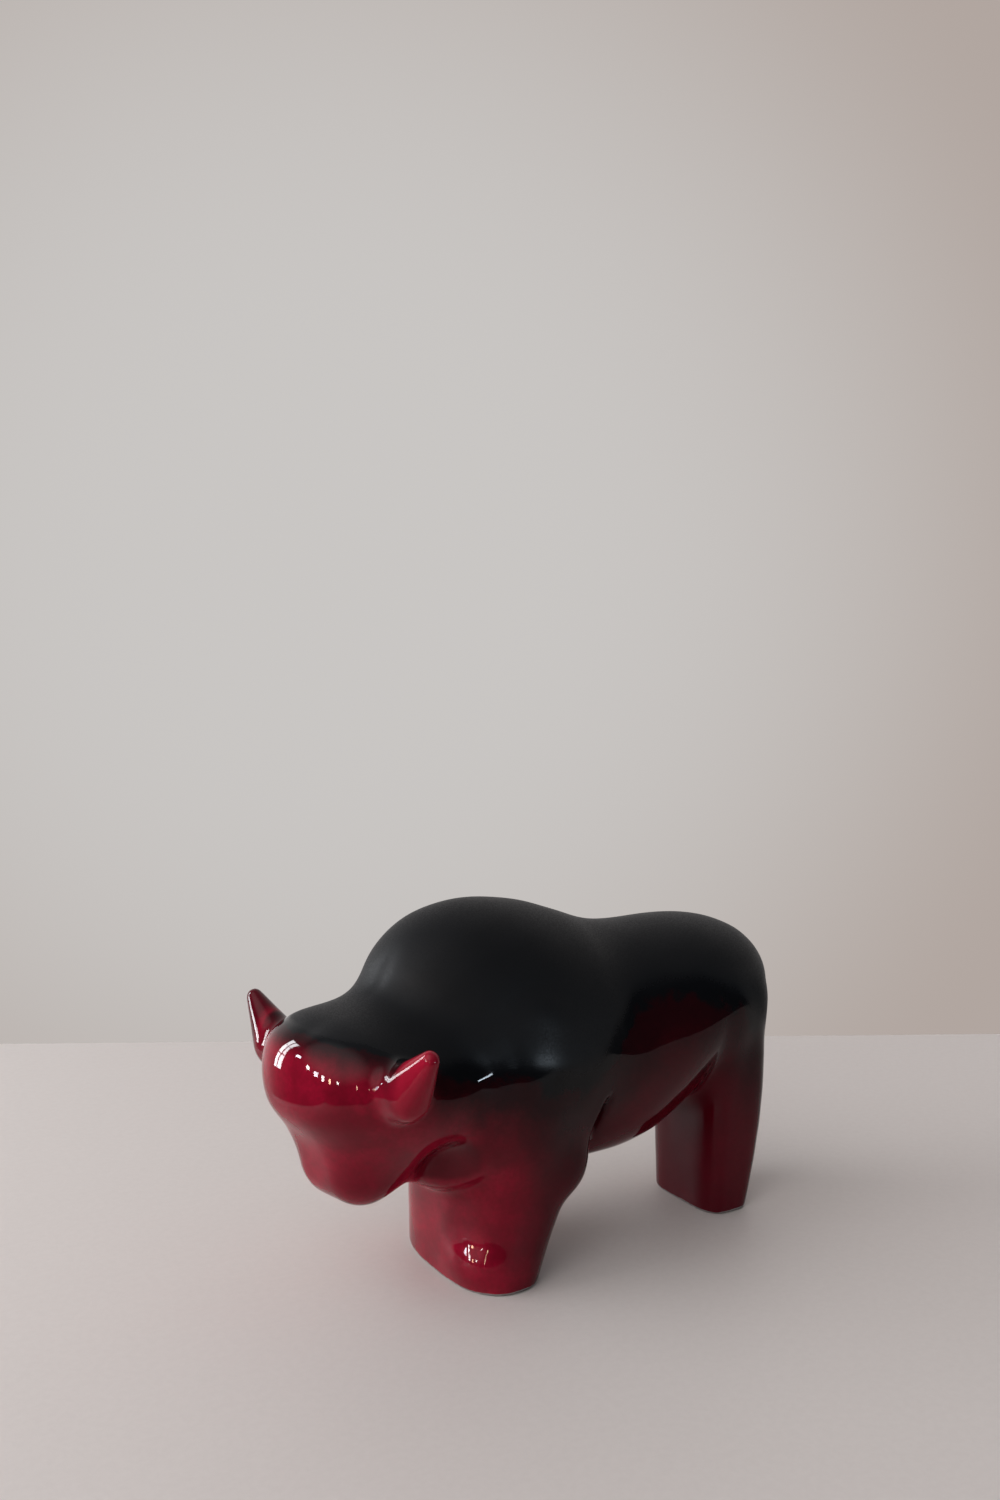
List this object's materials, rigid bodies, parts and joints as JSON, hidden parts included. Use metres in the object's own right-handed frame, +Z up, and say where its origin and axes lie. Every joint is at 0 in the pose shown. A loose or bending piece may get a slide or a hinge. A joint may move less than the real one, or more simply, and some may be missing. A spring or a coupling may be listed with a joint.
{
  "type": "bull sculpture",
  "caption": "Stylised standing bull in glazed ceramic, with a high hump, a low head turned slightly to its left, short horns and fused leg blocks.",
  "frame": {"origin": "on the ground under the middle of the outline", "axes": "+Z up, the bull faces -X, its left flank faces -Y"},
  "size_m": [0.2902, 0.142, 0.1852],
  "materials": {
    "glaze": "deep red gloss glaze under a satin black one over the back, bare clay at the feet"
  },
  "bodies": {
    "root": {"bull": "glaze"}
  },
  "joints": []
}
